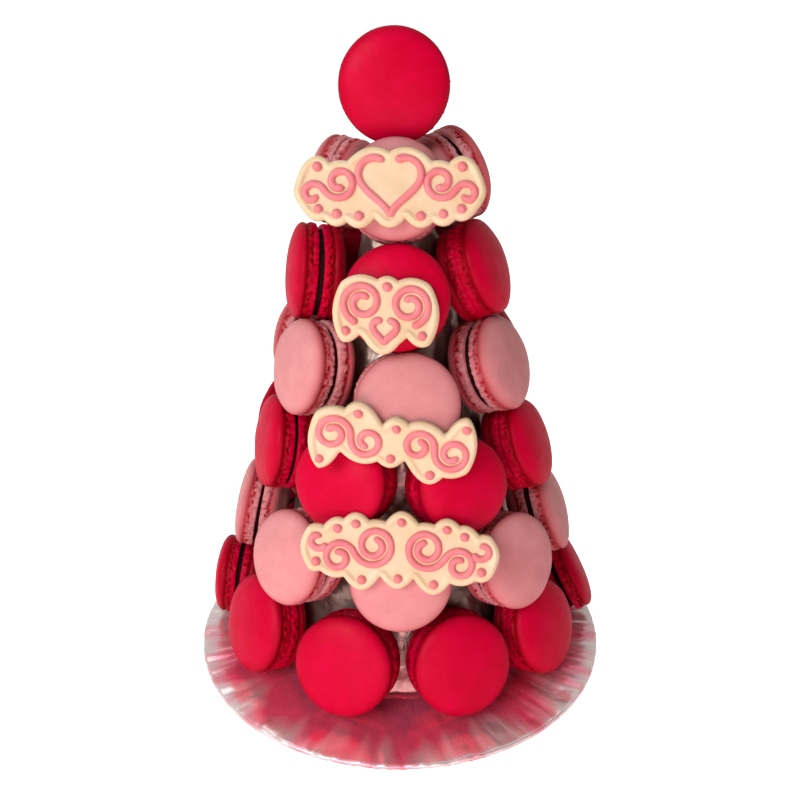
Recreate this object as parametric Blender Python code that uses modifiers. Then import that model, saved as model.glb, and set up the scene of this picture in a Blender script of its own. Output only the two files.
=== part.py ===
"""A macaron tower on its stand: rings of filled macarons that lean on a foil-wrapped cone, on a foil-covered
round board, with four cream plaques piped with scrollwork on the front. Metres, +Z up, the front faces -Y.
The origin is the centre of the board's underside."""

import math
from collections import namedtuple

import bmesh
import bpy
from mathutils import Vector

# Driving dimensions, in metres and degrees.
GAP = 0.0003  # between pieces that touch

BOARD_RADIUS = 0.1015
BOARD_THICKNESS = 0.003
BOARD_EDGE = 0.0008  # chamfer of the folded foil edge
BOARD_SIDES = 40

CONE_SETBACK = 0.0107  # the cone stands this far behind the board's centre
CONE_RADIUS = 0.0714
CONE_SLOPE = 0.27  # radius lost for each metre of height
CONE_HEIGHT = 0.2378
CONE_SIDES = 24

MACARON_RADIUS = 0.0214
MACARON_THICKNESS = 0.0256
MACARON_SIDES = 12
MACARON_LEAN = 19  # how far a face looks up
FOOT_HEIGHT = 0.0036
FOOT_RADIUS = 0.975  # of the macaron's radius
FILLING_THICKNESS = 0.0018
FILLING_RADIUS = 0.93  # of the macaron's radius
DOME_POWER = 2.3  # superellipse exponent of a shell's dome
DOME_ANGLES = (60, 28, 0)  # where the dome's profile has its points, from near the top to its rim

TOP_REACH = 0.005  # the top macaron stands on the cone's tip, this far in front of its axis
TOP_SHIFT = 0.0023  # and this far to its left
TOP_LEAN = 4
TOP_SIZE = 1.075

# A ring of macarons: the height of their middles above the board, or None where they stand on it, the colour
# of their shells, and the direction that each one faces, turned from the front towards +X.
Ring = namedtuple("Ring", "height colour azimuths")
RINGS = {
    "ring1": Ring(0.2210, "pink", (-4, 118, 250)),
    "ring2": Ring(0.1835, "crimson", (-1, 69, 142, 214, 282)),
    "ring3": Ring(0.1440, "pink", (3, 61, 123, 184, 247, 303)),
    "ring4": Ring(0.1018, "crimson", (-24, 25, 69, 125, 178, 244, 288)),
    "ring5": Ring(0.0611, "pink", (0, 43, 79, 136, 182, 223, 269, 317)),
    "ring6": Ring(None, "crimson", (-17, 19, 53, 89, 124, 160, 199, 235, 271, 306)),
}

# What sets a macaron apart from its ring: how far it sits above the others and out from the cone, how far its
# face looks up, and its radius as a share of the usual one.
Unevenness = namedtuple("Unevenness", "lift stand_off lean size", defaults=(0, 0, MACARON_LEAN, 1))
UNEVEN = {
    "ring1_macaron_0": Unevenness(size=0.98),
    "ring1_macaron_1": Unevenness(lift=0.001, lean=17),
    "ring1_macaron_2": Unevenness(stand_off=0.001, lean=8, size=0.92),
    "ring2_macaron_0": Unevenness(lift=-0.005, stand_off=0.0005, size=1.04),
    "ring2_macaron_1": Unevenness(lift=0.0015, lean=21),
    "ring2_macaron_4": Unevenness(stand_off=0.003, lean=8),
    "ring3_macaron_0": Unevenness(lift=-0.0075, stand_off=0.0015, size=1.03),
    "ring3_macaron_1": Unevenness(lift=0.0005, lean=21),
    "ring3_macaron_4": Unevenness(lift=0.0005, stand_off=0.002, lean=8),
    "ring3_macaron_5": Unevenness(lean=15),
    "ring4_macaron_1": Unevenness(lift=-0.002, size=0.98),
    "ring4_macaron_2": Unevenness(lift=0.0025, stand_off=0.0015, lean=24, size=0.98),
    "ring4_macaron_5": Unevenness(stand_off=0.004, lean=12),
    "ring4_macaron_6": Unevenness(lift=0.002, lean=12, size=1.02),
    "ring5_macaron_0": Unevenness(lift=0.0013, lean=18, size=1.02),
    "ring5_macaron_1": Unevenness(lift=0.0005, stand_off=0.0025),
    "ring5_macaron_2": Unevenness(lift=0.0045, stand_off=0.002, lean=22, size=0.98),
    "ring5_macaron_6": Unevenness(stand_off=0.0015, lean=11, size=1.04),
    "ring5_macaron_7": Unevenness(lift=0.001),
    "ring6_macaron_0": Unevenness(size=1.04),
    "ring6_macaron_1": Unevenness(size=1.04),
    "ring6_macaron_2": Unevenness(lean=22, size=1.01),
    "ring6_macaron_3": Unevenness(stand_off=0.003, lean=27, size=0.96),
    "ring6_macaron_8": Unevenness(stand_off=0.0035, lean=8, size=0.92),
    "ring6_macaron_9": Unevenness(lean=20, size=1.06),
}

MM = 0.001  # the plaques' designs are in millimetres
PLAQUE_THICKNESS = 0.0040
PLAQUE_MARGIN = 4.5  # from the middle of a piped line to the plaque's edge
LOBE_RADIUS = 5.0  # of the lobes along a plaque's edge
OUTLINE_STEPS = 28  # points along each long side of a plaque
COVER_ROWS = 12  # rows of rays from a plaque's top to its bottom
PIPING_RADIUS = 0.0015
PIPING_SINK = 0.0002  # how far the middle of the piping lies below the plaque's face
DOT_RADIUS = 0.0020
FLAT_ANGLE = math.radians(0.5)  # faces that meet at less than this are one face
SCROLL_STEPS = 8  # points in one turn of a scroll
SCROLL_CLOSING = 0.72  # share of its radius that a scroll loses as it winds in
SCROLL_SPACING = 3.7  # between a scroll's turns

# Where a plaque is: the height of its middle above the board, how far it sits to the right, how far its face
# looks up, how far it is turned against the clock, and the macarons that it leans on.
Plaque = namedtuple("Plaque", "height across lean roll carriers")
PLAQUES = {
    "plaque_1": Plaque(0.2250, -0.0040, 19, 0, ("ring1_macaron_0",)),
    "plaque_2": Plaque(0.1780, -0.0057, 19, -4, ("ring2_macaron_0",)),
    "plaque_3": Plaque(0.1267, -0.0030, 4, -8, ("ring3_macaron_0", "ring4_macaron_0", "ring4_macaron_1")),
    "plaque_4": Plaque(0.0806, 0.0, 21, -4, ("ring5_macaron_0", "ring4_macaron_0", "ring4_macaron_1")),
}

Finish = namedtuple("Finish", "colour roughness metallic")
FINISHES = {
    "crimson": Finish((0.62, 0.0, 0.035), 0.45, 0.0),
    "pink": Finish((0.86, 0.36, 0.38), 0.5, 0.0),
    "cream": Finish((0.86, 0.72, 0.47), 0.4, 0.0),
    "board_foil": Finish((0.75, 0.74, 0.72), 0.2, 1.0),
    "cone_foil": Finish((0.55, 0.50, 0.46), 0.35, 1.0),
}


def clear_scene():
    for obj in list(bpy.data.objects):
        bpy.data.objects.remove(obj, do_unlink=True)


def new_collection(name):
    collection = bpy.data.collections.new(name)
    bpy.context.scene.collection.children.link(collection)
    return collection


def make_materials():
    materials = {}
    for name, finish in FINISHES.items():
        material = bpy.data.materials.new(name)
        material.use_nodes = True
        shader = material.node_tree.nodes["Principled BSDF"]
        shader.inputs["Base Color"].default_value = (*finish.colour, 1.0)
        shader.inputs["Roughness"].default_value = finish.roughness
        shader.inputs["Metallic"].default_value = finish.metallic
        materials[name] = material
    return materials


def add_object(name, data, finish, parent=None):
    obj = bpy.data.objects.new(name, data)
    TOWER.objects.link(obj)
    obj.data.materials.append(MATERIALS[finish])
    obj.parent = parent
    return obj


def add_empty(name, location):
    empty = bpy.data.objects.new(name, None)
    TOWER.objects.link(empty)
    empty.location = location
    return empty


def turned(name, profile, sides, finish, parent=None):
    """A solid turned about its own Z from (radius, height) points that run down its outer side."""
    mesh = bpy.data.meshes.new(name)
    points = [(radius, 0.0, height) for radius, height in profile]
    mesh.from_pydata(points, [(i, i + 1) for i in range(len(points) - 1)], [])
    obj = add_object(name, mesh, finish, parent)
    screw = obj.modifiers.new("turn", "SCREW")
    screw.steps = sides
    screw.render_steps = sides
    screw.use_merge_vertices = True
    screw.merge_threshold = 0.00001
    screw.use_smooth_shade = True
    return obj


# The stand.


def make_board():
    top = BOARD_THICKNESS
    inner = BOARD_RADIUS - BOARD_EDGE
    profile = [(0, top), (inner, top), (BOARD_RADIUS, top - BOARD_EDGE)]
    profile += [(BOARD_RADIUS, BOARD_EDGE), (inner, 0), (0, 0)]
    return turned("board", profile, BOARD_SIDES, "board_foil")


def cone_radius(height):
    """The cone's radius at a height above the board."""
    return CONE_RADIUS - CONE_SLOPE * height


def make_cone(axis):
    tip = cone_radius(CONE_HEIGHT)
    profile = [(0, CONE_HEIGHT), (tip, CONE_HEIGHT), (cone_radius(GAP), GAP), (0, GAP)]
    return turned("foil_cone", profile, CONE_SIDES, "cone_foil", axis)


# The macarons.


def macaron_profile():
    """Two domed shells, each on its foot, with the filling set back between them."""
    half = MACARON_THICKNESS / 2
    seam = FILLING_THICKNESS / 2
    rim = seam + FOOT_HEIGHT
    power = 2 / DOME_POWER
    upper = [(0.0, half)]
    for angle in DOME_ANGLES:
        across = math.cos(math.radians(angle)) ** power
        up = math.sin(math.radians(angle)) ** power
        upper.append((MACARON_RADIUS * across, rim + (half - rim) * up))
    upper.append((MACARON_RADIUS * FOOT_RADIUS, seam))
    upper.append((MACARON_RADIUS * FILLING_RADIUS, seam))
    return upper + [(radius, -height) for radius, height in reversed(upper)]


def lowest_reach(lean, size):
    """How far a macaron reaches below its middle when its face looks up by this angle."""
    profile = macaron_profile()
    return max(size * radius * math.cos(lean) + height * math.sin(lean) for radius, height in profile)


def widest_reach(turn):
    """How far a macaron's shells reach from its middle, in a direction this far from where it faces."""
    profile = macaron_profile()
    return max(radius * math.sin(turn) + height * math.cos(turn) for radius, height in profile)


def place_macaron(name, colour, azimuth, height, reach, uneven):
    """A macaron that faces outwards, its middle at this reach from the cone's axis."""
    turn = math.radians(azimuth)
    macaron = turned(name, macaron_profile(), MACARON_SIDES, colour, CONE_AXIS)
    macaron.location = (reach * math.sin(turn), -reach * math.cos(turn), height)
    macaron.rotation_euler = (math.pi / 2 - math.radians(uneven.lean), 0, turn)
    macaron.scale = (uneven.size, uneven.size, 1)
    return macaron


def make_ring(ring_name, ring):
    """Each macaron leans on the cone, and the lowest ring stands on the board."""
    slope = math.atan(CONE_SLOPE)
    for number, azimuth in enumerate(ring.azimuths):
        name = f"{ring_name}_macaron_{number}"
        uneven = UNEVEN.get(name, Unevenness())
        lean = math.radians(uneven.lean)
        height = uneven.lift + (ring.height or lowest_reach(lean, uneven.size) + GAP)
        clearance = widest_reach(abs(lean - slope)) + GAP + uneven.stand_off
        reach = cone_radius(height) + clearance / math.cos(slope)
        place_macaron(name, ring.colour, azimuth, height, reach, uneven)


def make_top():
    uneven = Unevenness(lean=TOP_LEAN, size=TOP_SIZE)
    height = CONE_HEIGHT + GAP + lowest_reach(math.radians(TOP_LEAN), TOP_SIZE)
    macaron = place_macaron("top_macaron", "crimson", 0, height, TOP_REACH, uneven)
    macaron.location.x = -TOP_SHIFT
    return macaron


# The plaques' designs. A stroke is a line of piping and a dot is a drop of it: points in millimetres, across
# and up from the plaque's middle.


def turned_about(x, y, points, angle):
    cos, sin = math.cos(math.radians(angle)), math.sin(math.radians(angle))
    return [(x + across * cos - up * sin, y + across * sin + up * cos) for across, up in points]


def scroll(x, y, size, start, hand):
    """A scroll about (x, y) that winds in from its rim. hand is 1 against the clock and -1 with it."""
    turns = size * SCROLL_CLOSING / SCROLL_SPACING
    steps = round(turns * SCROLL_STEPS)
    points = []
    for step in range(steps + 1):
        share = step / steps
        angle = math.radians(start) + hand * 2 * math.pi * turns * share
        radius = size * (1 - SCROLL_CLOSING * share)
        points.append((x + radius * math.cos(angle), y + radius * math.sin(angle)))
    return points


def double_scroll(x, y, size, heading, next_size, hand):
    """Two scrolls that flow into each other, the next one's middle in this direction from the first's."""
    (next_x, next_y), = turned_about(x, y, [(size + next_size, 0)], heading)
    first = scroll(x, y, size, heading, hand)
    second = scroll(next_x, next_y, next_size, heading + 180, hand)
    return first[::-1] + second[1:]


def heart(x, y, size, steps=12):
    """One open line that starts and ends just beside a heart's notch."""
    points = []
    for step in range(steps + 1):
        t = 0.6 + (2 * math.pi - 1.2) * step / steps
        across = math.sin(t) ** 3
        up = (13 * math.cos(t) - 5 * math.cos(2 * t) - 2 * math.cos(3 * t) - math.cos(4 * t)) / 16
        points.append((x + size * across, y + size * up))
    return points


def mirrored(points):
    return [(-x, y) for x, y in points]


def heart_and_scrolls():
    side = double_scroll(19.8, 1.8, 6.8, -24, 4.8, -1)
    dots = [(28.5, 7.8), (12.2, -11.4), (21.0, -10.6), (28.2, -8.6)]
    return [heart(0, 2, 12.5), side, mirrored(side)], dots + mirrored(dots)


def pair_of_scrolls():
    side = scroll(9.4, 3.4, 8.4, -80, 1)
    dots = [(15.4, -8.4)]
    return [heart(0, -7.0, 5.0, 10), side, mirrored(side)], dots + mirrored(dots) + [(0, 10.2)]


def running_scrolls():
    first = double_scroll(-24.8, 1.2, 7.6, -6, 6.8, 1)
    second = double_scroll(10.5, 0.3, 6.8, -6, 7.6, 1)
    dots = [(0, -6.5), (-15.5, 11.0), (0.6, 6.5), (17.0, -11.5), (29.0, 10.0), (-29.0, -10.5)]
    return [first, second], dots


def long_scrolls():
    side = double_scroll(10.8, 2.6, 8.8, -22, 6.8, -1)
    end = scroll(34.4, 3.6, 4.4, 200, 1)
    dots = [(19.0, 11.2), (26.5, 8.8), (15.0, -12.0), (34.5, -5.5)]
    return [side, mirrored(side), end, mirrored(end)], dots + mirrored(dots) + [(0, 13.0), (0, -10.5)]


DESIGNS = {
    "plaque_1": heart_and_scrolls,
    "plaque_2": pair_of_scrolls,
    "plaque_3": running_scrolls,
    "plaque_4": long_scrolls,
}


def outline(points):
    """The plaque's edge, with a lobe about each of the outer points and both ends rounded off."""
    left = min(x for x, _ in points) - PLAQUE_MARGIN
    right = max(x for x, _ in points) + PLAQUE_MARGIN
    upper = []
    lower = []
    for step in range(OUTLINE_STEPS + 1):
        across = (left + right) / 2 + (right - left) / 2 * math.sin(math.pi * (step / OUTLINE_STEPS - 0.5))
        falls = [(across - x) ** 2 / (2 * LOBE_RADIUS) - PLAQUE_MARGIN for x, _ in points]
        top = max(y - fall for (_, y), fall in zip(points, falls))
        bottom = min(y + fall for (_, y), fall in zip(points, falls))
        from_end = min(across - left, right - across, PLAQUE_MARGIN) / PLAQUE_MARGIN
        half = (top - bottom) / 2 * math.sqrt(max(0.01, 1 - (1 - from_end) ** 2))
        upper.append((across, (top + bottom) / 2 + half))
        lower.append((across, (top + bottom) / 2 - half))
    return upper + lower[::-1]


# The plaques' solids.


def add_curve(name, points, finish):
    curve = bpy.data.curves.new(name, "CURVE")
    spline = curve.splines.new("POLY")
    spline.points.add(len(points) - 1)
    for point, (x, y) in zip(spline.points, points):
        point.co = (x * MM, y * MM, 0, 1)
    return add_object(name, curve, finish)


def made_mesh(curve_object):
    """The same solid as a mesh object, with its caps welded on."""
    name = curve_object.name
    evaluated = curve_object.evaluated_get(bpy.context.evaluated_depsgraph_get())
    mesh = bpy.data.meshes.new_from_object(evaluated)
    shape = bmesh.new()
    shape.from_mesh(mesh)
    bmesh.ops.remove_doubles(shape, verts=shape.verts, dist=0.00001)
    shape.to_mesh(mesh)
    shape.free()
    made = bpy.data.objects.new(name, mesh)
    made.matrix_world = curve_object.matrix_world
    bpy.data.objects.remove(curve_object)
    made.name = name
    return made


def make_base(name, edge):
    base = add_curve(name, edge, "cream")
    base.data.dimensions = "2D"
    base.data.fill_mode = "BOTH"
    base.data.extrude = PLAQUE_THICKNESS / 2
    base.data.splines[0].use_cyclic_u = True
    return made_mesh(base)


def make_line(name, stroke):
    line = add_curve(name, stroke, "cream")
    line.data.dimensions = "3D"
    line.data.bevel_depth = PIPING_RADIUS
    line.data.bevel_resolution = 1
    line.data.use_fill_caps = True
    line.location.z = PLAQUE_THICKNESS / 2 - PIPING_SINK
    bpy.context.view_layer.update()
    return made_mesh(line)


def make_dot(name, x, y):
    mesh = bpy.data.meshes.new(name)
    shape = bmesh.new()
    bmesh.ops.create_uvsphere(shape, u_segments=6, v_segments=4, radius=DOT_RADIUS)
    shape.to_mesh(mesh)
    shape.free()
    dot = bpy.data.objects.new(name, mesh)
    dot.location = (x * MM, y * MM, PLAQUE_THICKNESS / 2 - PIPING_SINK)
    return dot


def fuse(base, pieces):
    """Joins the pieces to the base and removes them."""
    piping = new_collection("piping")
    for piece in pieces:
        piping.objects.link(piece)
    union = base.modifiers.new("piping", "BOOLEAN")
    union.operation = "UNION"
    union.operand_type = "COLLECTION"
    union.collection = piping
    evaluated = base.evaluated_get(bpy.context.evaluated_depsgraph_get())
    joined = bpy.data.meshes.new_from_object(evaluated)
    shape = bmesh.new()
    shape.from_mesh(joined)
    bmesh.ops.dissolve_limit(shape, angle_limit=FLAT_ANGLE, verts=shape.verts, edges=shape.edges)
    shape.to_mesh(joined)
    shape.free()
    base.modifiers.clear()
    base.data = joined
    for piece in pieces:
        bpy.data.objects.remove(piece)
    bpy.data.collections.remove(piping)


def room_behind(plaque_object, edge, carriers):
    """How far the plaque can go straight back before it meets a carrier, from rays off its back face."""
    columns = list(zip(edge, edge[::-1]))[: len(edge) // 2]
    shares = [row / COVER_ROWS for row in range(COVER_ROWS + 1)]
    points = [(top[0], top[1] + (bottom[1] - top[1]) * share) for top, bottom in columns for share in shares]
    distances = []
    for name in carriers:
        carrier = bpy.data.objects[name].evaluated_get(bpy.context.evaluated_depsgraph_get())
        inward = carrier.matrix_world.inverted()
        backwards = inward.to_3x3() @ Vector((0, 1, 0))
        for x, y in points:
            start = plaque_object.matrix_world @ Vector((x * MM, y * MM, -PLAQUE_THICKNESS / 2))
            hit, spot, _, _ = carrier.ray_cast(inward @ start, backwards)
            if hit:
                distances.append((carrier.matrix_world @ spot - start).length)
    return min(distances)


def place_plaque(plaque_object, plaque, edge):
    """Moves the plaque straight back until it leans on its carriers."""
    lean = math.radians(plaque.lean)
    plaque_object.location = (plaque.across, -BOARD_RADIUS, BOARD_THICKNESS + plaque.height)
    plaque_object.rotation_euler = (math.pi / 2 - lean, 0, 0)
    bpy.context.view_layer.update()
    plaque_object.location.y += room_behind(plaque_object, edge, plaque.carriers) - GAP / math.cos(lean)


def make_plaque(name, plaque):
    strokes, dots = DESIGNS[name]()
    strokes = [turned_about(0, 0, stroke, plaque.roll) for stroke in strokes]
    dots = turned_about(0, 0, dots, plaque.roll)
    edge = outline([point for stroke in strokes for point in stroke] + dots)
    base = make_base(name, edge)
    TOWER.objects.link(base)
    pieces = [make_line(f"line_{number}", stroke) for number, stroke in enumerate(strokes)]
    pieces += [make_dot(f"dot_{number}", x, y) for number, (x, y) in enumerate(dots)]
    fuse(base, pieces)
    place_plaque(base, plaque, edge)
    return base


clear_scene()
MATERIALS = make_materials()
TOWER = new_collection("macaron_tower")
make_board()
CONE_AXIS = add_empty("cone_axis", (0, CONE_SETBACK, BOARD_THICKNESS))
make_cone(CONE_AXIS)
for ring_name, ring in RINGS.items():
    make_ring(ring_name, ring)
make_top()
bpy.context.view_layer.update()
for plaque_name, plaque in PLAQUES.items():
    make_plaque(plaque_name, plaque)
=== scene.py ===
"""The looks of the macaron tower: ruffled macarons with a dark filling, a cone and a board in crinkled foil,
and cream plaques piped with pink scrollwork. Metres, +Z up, the front faces -Y."""

import math
import random
from collections import namedtuple

import bpy
import numpy as np
from mathutils import Matrix, Vector, noise


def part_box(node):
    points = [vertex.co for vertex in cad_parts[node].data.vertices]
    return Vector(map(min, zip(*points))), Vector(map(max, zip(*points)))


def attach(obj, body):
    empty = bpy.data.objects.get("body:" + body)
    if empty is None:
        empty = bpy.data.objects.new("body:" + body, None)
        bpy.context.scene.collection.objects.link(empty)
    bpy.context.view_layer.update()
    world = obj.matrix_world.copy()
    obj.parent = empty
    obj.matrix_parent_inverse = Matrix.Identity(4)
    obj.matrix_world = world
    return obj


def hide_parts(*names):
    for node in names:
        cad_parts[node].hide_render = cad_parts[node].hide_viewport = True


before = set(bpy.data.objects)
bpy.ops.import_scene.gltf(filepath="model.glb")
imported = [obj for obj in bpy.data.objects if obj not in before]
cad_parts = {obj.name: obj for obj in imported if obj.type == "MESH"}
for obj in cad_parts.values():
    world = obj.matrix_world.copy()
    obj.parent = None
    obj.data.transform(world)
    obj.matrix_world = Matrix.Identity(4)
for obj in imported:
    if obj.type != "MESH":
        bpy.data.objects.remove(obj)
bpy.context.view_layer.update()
BODY = "root"
MM = 0.001
NOISE_SEED = 7  # without one, noise_vector differs from run to run

# The camera, the lights and the floor.
CAMERA_PLACE = (0.0, -0.3682, 0.2741)
CAMERA_PITCH = 21.97  # degrees that it looks down
FIELD_OF_VIEW = 50.93  # degrees

Lamp = namedtuple("Lamp", "place size power colour")
LAMPS = {
    "key": Lamp((-0.75, -0.95, 0.85), 0.7, 11.0, (1.0, 0.98, 0.98)),
    "fill": Lamp((-0.05, -0.62, 0.02), 0.5, 3.2, (1.0, 0.5, 0.56)),
    "back": Lamp((-0.3, 0.8, 1.9), 0.8, 3.0, (1.0, 0.96, 0.94)),
}
LAMP_TARGET = (0, 0, 0.12)
WHITE = (1.05, 1.05, 1.05)  # the surroundings as the camera sees them
SKY_LEFT = (0.36, 0.28, 0.275)  # the light that they give from the front left,
SKY_RIGHT = (0.15, 0.115, 0.115)  # from the front right
SKY_BEHIND = (0.54, 0.505, 0.49)  # and from behind
LEFT_TO_RIGHT = (-0.5, 0.6)  # the X of a direction over which the first passes into the second
FRONT_TO_BEHIND = (-0.2, 0.5)  # and its Y over which these pass into the third
FLOOR_GLOW = (0.38, 0.27, 0.27)  # the light that the floor gives
FLOOR_HALF_WIDTH = 6.0
FLOOR_DROP = 0.0002
FLOOR_COLOURS = ((0.82, 0.74, 0.72), (0.84, 0.76, 0.74))
FLOOR_MOTTLE = 0.4

# The foils.
FACET = 0.008  # the size of the cone's crumples
WRINKLE_REACH = (0.06, 0.098)  # where the board's wrinkles begin to grow and are in full, from its middle
WRINKLE_PATCH = 0.03
BUCKLE = 0.016  # the size and the height of the slow buckles under them
BUCKLE_HEIGHT = 0.0024
Wrinkles = namedtuple("Wrinkles", "turns outwards height")
WRINKLES = (Wrinkles(9.0, 40.0, 0.0014), Wrinkles(3.5, 16.0, 0.0065))
PAINTED_REFLECTION_MIDDLE = (0.0, -0.006, 0.0)  # of the zone where the red reflection of the lowest macarons is painted on the board
PAINTED_REFLECTION_REACH = (0.080, 0.100)  # where that painted reflection begins to fade and where it ends, from there
PAINTED_REFLECTION_FRAY = 0.010
PAINTED_REFLECTION_STREAKS = (5.0, 24.0)  # how narrow and how short they are
PAINTED_REFLECTION_SHARE = 0.95

# The macarons' shells. Heights are from the middle, and "down" runs from 0 at the dome's widest row to 1 at
# the gap between the shells.
SEAM = 0.0011  # half the gap
CLOSED_SEAM = 0.00015  # and half that of a macaron that is pressed shut
CLOSED = ("ring1_macaron_2", "ring2_macaron_1", "ring4_macaron_2", "ring6_macaron_2", "ring6_macaron_9")
PINK_RINGS = ("ring1", "ring3", "ring5")
RIM_HEIGHT = 0.0056  # from the gap up to the dome's widest row
CREASE = 0.028  # how deep the crease below the dome is, as a share of the radius
CREASE_AT = 0.22  # how far down it is
CREASE_WIDTH = 0.13
CREASE_PAINTED_SHADE = 0.55  # how much painted shade, in the deeper colour, it shows
CREASE_END = 0.8  # how far down that painted shade has faded
FOOT_PAINTED_SHADE = 0.08  # the share of the painted shade that stays there
SHOULDER = 0.85  # how far up the dome the painted shade begins
TAPER = 0.024  # how far the rim closes in towards the gap, as a share of the radius
LIP = 0.00035  # the height of the rounding at the gap
LIP_TURN = 0.02  # and its width, as a share of the radius
DOME_POWER = (2.12, 2.42)  # range of the superellipse exponent of a dome
DOME_WAVE = 0.0005
DOME_WAVE_SIZE = 0.012
DOME_SIDES = 60
DOME_ROWS = 15
RIM_TIMES = 4  # a row of the rim has this many times as many points
RIM_SIDES = RIM_TIMES * DOME_SIDES
RIM_ROWS = 12
LIP_ROWS = 2
WOBBLE = 0.012  # how far the outline strays from round
WOBBLE_TURNS = (0.9, 2.4)  # how often, slowly and less slowly
SECOND_WOBBLE = 0.4
SEED_RANGE = 50.0
SKEW = math.radians(1.3)  # how far one shell may tilt on the other
SLIP = 0.0005  # and how far it may lie off centre

# The crust below the crease: ruffles with pits among them.
CRUST_START = (0.12, 0.40)  # how far down it begins and is in full
RUFFLE = 0.0007
RUFFLE_SPACING = 0.0015
RUFFLE_STRETCH = 0.45  # of the noise along the axis, which makes the ruffles tall
RUFFLE_OCTAVE = 2.3
HOLLOW_PAINTED_SHADE = 0.4  # how much painted shade, in the deeper colour, the hollows between ruffles show
PIT_DEPTH = 0.0014
PIT_SPACING = 0.0018
PIT_SHARE = 0.62  # of the cells of that size that hold a pit
PIT_EDGE = (0.56, 0.1)  # where a pit begins and is deepest, in cells from its middle
PIT_BEND = 0.0007  # how far the cells' outlines are bent
PIT_AT = 0.42  # how far down the pits are deepest
PIT_BAND = 0.28
CELL_STRIDE = 7919.0  # sends each cell's middle to a value of its own

# The filling.
FILLING_SHARE = 0.90  # of the shells' radius
FILLING_SINK = 0.0006  # how far it reaches into each shell
FILLING_WAIST = 0.985
FILLING_SWELL = 0.018  # how far its edge strays slowly, and how often
FILLING_SWELL_TURNS = 3.1
FILLING_RAGGED = 0.01  # and quickly
FILLING_RAGGED_TURNS = 9.0
FILLING_SEED_STEP = 3.7

# The board. Shares are of its radius.
BOARD_SIDES = 480
BOARD_TOP = (0.3, 0.985)
BOARD_TOP_ROWS = 34
BOARD_DIP = 0.0002  # of the middle
BOARD_EDGE = 0.0011  # radius of the rounding at the rim
BOARD_EDGE_ROWS = 5
BOARD_UNDER_EDGE_ROWS = 3
BOARD_UNDERSIDE = (0.93, 0.8, 0.5, 0.1)
WAVE_SIZE = 0.021
WAVE_DEPTH = 0.00016
Pleats = namedtuple("Pleats", "turns length depth")
WIDE_PLEATS = Pleats(13.0, 0.05, 0.0009)
FINE_PLEATS = Pleats(31.0, 0.02, 0.00034)
PLEAT_REACH = (0.5, 0.95)
PLEAT_PULL = 0.0006  # how far the rim is drawn in at a wide pleat
LUMPS = (17, -36, 128, -140)  # degrees from the front towards +X, where the foil is bunched at the rim
LUMP_WIDTH = 0.035
LUMP_AT = 0.97
LUMP_REACH = 0.03
LUMP_HEIGHT = 0.0008
LUMP_CRUMPLE = 0.0009
LUMP_CRUMPLE_SIZE = 0.0022

# The cone.
CONE_SIDES = 132
CONE_ROWS = 150
CRUMPLE = 0.0022
CRUMPLE_SIZE = 0.011
FINE_CRUMPLE_SIZE = 0.005
CRUMPLE_LIMIT = 0.25  # of the cone's radius there

# The plaques. Their sizes are in millimetres.
PLAQUE_THICKNESS = 4.0
PLAQUE_MARGIN = 4.5
LOBE_RADIUS = 5.0
SMALLEST_TIP = 0.0001  # how blunt the plaque's ends are, as the square of a share of its half height
COLUMN_WIDTH = 0.42
CROWDING = 0.35  # how far the columns are drawn towards the ends
PLAQUE_ROWS = 46
BACK_ROWS = 8
BACK_ROUNDING = 0.8  # how wide and how deep the back's edge is rounded
BACK_ROUNDING_DEPTH = 0.7
EDGE_ROUNDING = 1.5
BEAD_HEIGHT = 0.42
BEAD_INSET = 2.0
BEAD_WIDTH = 1.05
BED_DEPTH = 0.35
BED_SLOPE = 1.6  # how far inside the bead the bed is at its full depth
BED_WAVE = 0.12
BED_WAVE_SIZE = 6.0

# Their piping, also in millimetres.
PIPING_RADIUS = 1.5
PIPING_SINK = 0.2
PIPING_HEIGHT = 0.92  # as a share of its width
PIPING_SIDES = 12
PIPING_SPACING = 0.75  # between its rows of points
PIPING_END_ROWS = (0, 0.12, 0.35, 0.7)  # where the rows of a round end are
PIPING_INSET = 1.2  # and where the even rows begin
SMALLEST_END = 0.004  # how blunt the very end is, as the square of a share of the radius
UNSTEADINESS = 0.10  # how far the thickness strays, and over what length
UNSTEADY_LENGTH = 4.0
HEAVY_START = 0.10  # how much thicker a line starts, and over what length
HEAVY_LENGTH = 3.0
SMOOTHING = 3  # times that the points of a line are drawn towards their neighbours
DOT_RADIUS = 2.0
DOT_UNEVENNESS = 0.08
DOT_HEIGHT = 0.78  # as a share of its radius
DOT_PEAK = 0.17
DOT_PEAK_POWER = 6
DOT_SIDES = 16
DOT_ROWS = 8
SCROLL_STEPS = 40  # points in one turn of a scroll
SCROLL_CLOSING = 0.72  # the share of its radius that a scroll winds in
SCROLL_SPACING = 3.7
HEART_STEPS = 72
HEART_GAP = 0.6  # radians that a heart's line leaves open at each side of the notch

Plaque = namedtuple("Plaque", "design roll lean")


def clear_default_objects():
    for name in ("Cube", "Light", "Camera"):
        found = bpy.data.objects.get(name)
        if found:
            bpy.data.objects.remove(found)


# Materials. The sizes of their features are in metres.


def add(tree, kind, inputs=None, **settings):
    """A shader node. An input takes a number, a colour or another node's output."""
    made = tree.nodes.new("ShaderNode" + kind)
    for key, value in settings.items():
        setattr(made, key, value)
    for key, value in (inputs or {}).items():
        if isinstance(value, bpy.types.NodeSocket):
            tree.links.new(value, made.inputs[key])
        else:
            made.inputs[key].default_value = value
    return made


def vector_math(tree, operation, inputs):
    return add(tree, "VectorMath", inputs, operation=operation).outputs["Vector"]


def new_material(name, **values):
    """A material with these values on its Principled shader, its tree and the shader."""
    material = bpy.data.materials.new(name)
    material.use_nodes = True
    shader = material.node_tree.nodes["Principled BSDF"]
    for key, value in values.items():
        shader.inputs[key.replace("_", " ")].default_value = value
    return material, material.node_tree, shader


def object_coordinates(tree):
    return add(tree, "TexCoord").outputs["Object"]


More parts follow.
